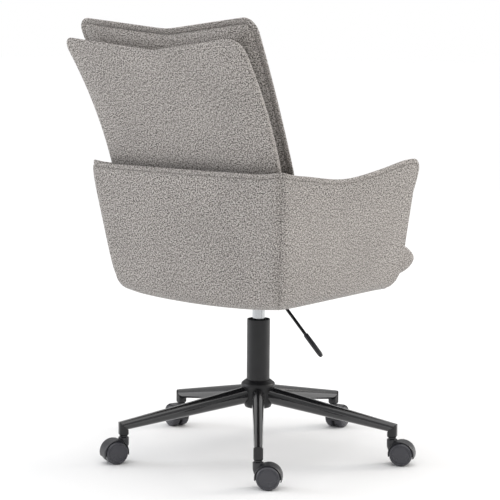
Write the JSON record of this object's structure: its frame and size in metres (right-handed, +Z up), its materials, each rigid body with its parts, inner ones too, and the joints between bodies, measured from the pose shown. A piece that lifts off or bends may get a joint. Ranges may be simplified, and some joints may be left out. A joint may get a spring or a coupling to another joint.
{
  "type": "swivel office chair",
  "caption": "Swivel office chair: upholstered tub with low arms and a leaning padded back, on a lever-operated gas column and a star base with twin-wheel casters.",
  "frame": {"origin": "point on the floor under the column axis, with the seat at its lowest", "axes": "+Z up along the column; -Y is the way the sitter faces; +X is the sitter's left"},
  "size_m": [0.6863, 0.7161, 0.955],
  "materials": {
    "upholstery": "light warm grey melange weave",
    "leg_enamel": "gloss black powder coat",
    "base_enamel": "satin black powder coat",
    "cylinder_chrome": "polished",
    "zinc_plate": "bright zinc",
    "caster_plastic": "moulded black nylon",
    "wheel_nylon": "moulded charcoal nylon",
    "guide_plastic": "moulded white acetal",
    "plywood": "unfinished",
    "dust_cloth": "black non-woven"
  },
  "bodies": {
    "base": {"base_hub": "base_enamel", "column_tube": "base_enamel", "guide_bush": "guide_plastic", "thrust_bearing": "zinc_plate", "leg_1": "leg_enamel", "leg_2": "leg_enamel", "leg_3": "leg_enamel", "leg_4": "leg_enamel", "leg_5": "leg_enamel", "leg_socket_1": "base_enamel", "leg_socket_2": "base_enamel", "leg_socket_3": "base_enamel", "leg_socket_4": "base_enamel", "leg_socket_5": "base_enamel", "caster_stem_1": "zinc_plate", "caster_stem_2": "zinc_plate", "caster_stem_3": "zinc_plate", "caster_stem_4": "zinc_plate", "caster_stem_5": "zinc_plate"},
    "caster_1": {"caster_hood_1": "caster_plastic", "caster_axle_1": "zinc_plate"},
    "wheel_1_left": {"wheel_1_left": "wheel_nylon"},
    "wheel_1_right": {"wheel_1_right": "wheel_nylon"},
    "caster_2": {"caster_hood_2": "caster_plastic", "caster_axle_2": "zinc_plate"},
    "wheel_2_left": {"wheel_2_left": "wheel_nylon"},
    "wheel_2_right": {"wheel_2_right": "wheel_nylon"},
    "caster_3": {"caster_hood_3": "caster_plastic", "caster_axle_3": "zinc_plate"},
    "wheel_3_left": {"wheel_3_left": "wheel_nylon"},
    "wheel_3_right": {"wheel_3_right": "wheel_nylon"},
    "caster_4": {"caster_hood_4": "caster_plastic", "caster_axle_4": "zinc_plate"},
    "wheel_4_left": {"wheel_4_left": "wheel_nylon"},
    "wheel_4_right": {"wheel_4_right": "wheel_nylon"},
    "caster_5": {"caster_hood_5": "caster_plastic", "caster_axle_5": "zinc_plate"},
    "wheel_5_left": {"wheel_5_left": "wheel_nylon"},
    "wheel_5_right": {"wheel_5_right": "wheel_nylon"},
    "spindle": {"piston_rod": "zinc_plate", "retaining_clip": "zinc_plate"},
    "seat": {"gas_cylinder": "cylinder_chrome", "seat_plate": "base_enamel", "lever_pivot": "zinc_plate", "plate_bolt_1": "zinc_plate", "plate_bolt_2": "zinc_plate", "plate_bolt_3": "zinc_plate", "plate_bolt_4": "zinc_plate", "seat_board": "plywood", "dust_cover": "dust_cloth", "back_bracket_left": "zinc_plate", "back_bracket_right": "zinc_plate", "tub_shell": "upholstery", "seat_cushion": "upholstery", "backrest_panel": "upholstery", "back_cushion": "upholstery"},
    "lever": {"lever_rod": "leg_enamel", "lever_grip": "caster_plastic"},
    "valve": {"valve_pin": "zinc_plate"}
  },
  "joints": [
    {"name": "caster_1_swivel", "type": "hinge", "parent": "base", "child": "caster_1", "pos_m": [-0.19669, 0.23441, 0.055], "axis": [0, 0, 1], "continuous": true},
    {"name": "wheel_1_left_spin", "type": "hinge", "parent": "caster_1", "child": "wheel_1_left", "pos_m": [-0.21452, 0.22239, 0.025], "axis": [0.5592, -0.829, 0], "continuous": true},
    {"name": "wheel_1_right_spin", "type": "hinge", "parent": "caster_1", "child": "wheel_1_right", "pos_m": [-0.21452, 0.22239, 0.025], "axis": [0.5592, -0.829, 0], "continuous": true},
    {"name": "caster_2_swivel", "type": "hinge", "parent": "base", "child": "caster_2", "pos_m": [-0.28372, -0.11463, 0.055], "axis": [0, 0, 1], "continuous": true},
    {"name": "wheel_2_left_spin", "type": "hinge", "parent": "caster_2", "child": "wheel_2_left", "pos_m": [-0.30304, -0.12405, 0.025], "axis": [0.4384, -0.8988, 0], "continuous": true},
    {"name": "wheel_2_right_spin", "type": "hinge", "parent": "caster_2", "child": "wheel_2_right", "pos_m": [-0.30304, -0.12405, 0.025], "axis": [0.4384, -0.8988, 0], "continuous": true},
    {"name": "caster_3_swivel", "type": "hinge", "parent": "base", "child": "caster_3", "pos_m": [0.02135, -0.30525, 0.055], "axis": [0, 0, 1], "continuous": true},
    {"name": "wheel_3_left_spin", "type": "hinge", "parent": "caster_3", "child": "wheel_3_left", "pos_m": [0.02452, -0.32652, 0.025], "axis": [0.989, 0.1478, 0], "continuous": true},
    {"name": "wheel_3_right_spin", "type": "hinge", "parent": "caster_3", "child": "wheel_3_right", "pos_m": [0.02452, -0.32652, 0.025], "axis": [0.989, 0.1478, 0], "continuous": true},
    {"name": "caster_4_swivel", "type": "hinge", "parent": "base", "child": "caster_4", "pos_m": [0.29691, -0.07403, 0.055], "axis": [0, 0, 1], "continuous": true},
    {"name": "wheel_4_left_spin", "type": "hinge", "parent": "caster_4", "child": "wheel_4_left", "pos_m": [0.31758, -0.07995, 0.025], "axis": [0.2756, 0.9613, 0], "continuous": true},
    {"name": "wheel_4_right_spin", "type": "hinge", "parent": "caster_4", "child": "wheel_4_right", "pos_m": [0.31758, -0.07995, 0.025], "axis": [0.2756, 0.9613, 0], "continuous": true},
    {"name": "caster_5_swivel", "type": "hinge", "parent": "base", "child": "caster_5", "pos_m": [0.16216, 0.2595, 0.055], "axis": [0, 0, 1], "continuous": true},
    {"name": "wheel_5_left_spin", "type": "hinge", "parent": "caster_5", "child": "wheel_5_left", "pos_m": [0.17056, 0.27929, 0.025], "axis": [-0.9205, 0.3907, 0], "continuous": true},
    {"name": "wheel_5_right_spin", "type": "hinge", "parent": "caster_5", "child": "wheel_5_right", "pos_m": [0.17056, 0.27929, 0.025], "axis": [-0.9205, 0.3907, 0], "continuous": true},
    {"name": "seat_swivel", "type": "hinge", "parent": "base", "child": "spindle", "pos_m": [0, 0, 0.2], "axis": [0, 0, 1], "continuous": true},
    {"name": "seat_height", "type": "slide", "parent": "spindle", "child": "seat", "axis": [0, 0, 1], "range_m": [0, 0.09]},
    {"name": "lever_lift", "type": "hinge", "parent": "seat", "child": "lever", "pos_m": [-0.022, 0, 0.352], "axis": [0, 1, 0], "range_deg": [0, 7], "stiffness_Nm_per_rad": 1, "springref_deg": -5.73},
    {"name": "valve_press", "type": "slide", "parent": "seat", "child": "valve", "axis": [0, 0, -1], "range_m": [0, 0.0035]}
  ],
  "couplings": [
    {"joint": "valve_press", "follows": "lever_lift", "m_per_rad": 0.026}
  ]
}
